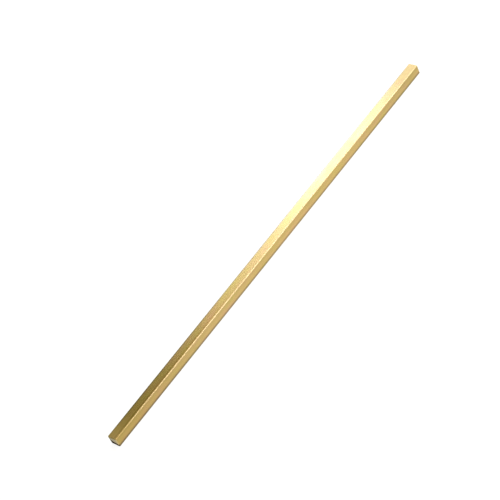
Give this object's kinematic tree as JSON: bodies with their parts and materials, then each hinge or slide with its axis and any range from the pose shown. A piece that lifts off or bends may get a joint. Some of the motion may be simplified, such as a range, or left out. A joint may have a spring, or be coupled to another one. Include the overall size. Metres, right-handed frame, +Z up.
{
  "type": "brass square bar",
  "caption": "Long straight solid bar of drawn brass, square in section with slightly rounded long edges and sawn, bevelled ends, for cutting, machining, brackets and frames.",
  "frame": {"origin": "middle of the bottom face, which the bar rests on", "axes": "+X along the bar's length, +Y across it towards the back face, +Z up"},
  "size_m": [0.3048, 0.0064, 0.0063],
  "materials": {
    "brass": "bright drawn brass, lightly brushed along the length, with faint warm tarnish"
  },
  "bodies": {
    "root": {"bar": "brass"}
  },
  "joints": []
}
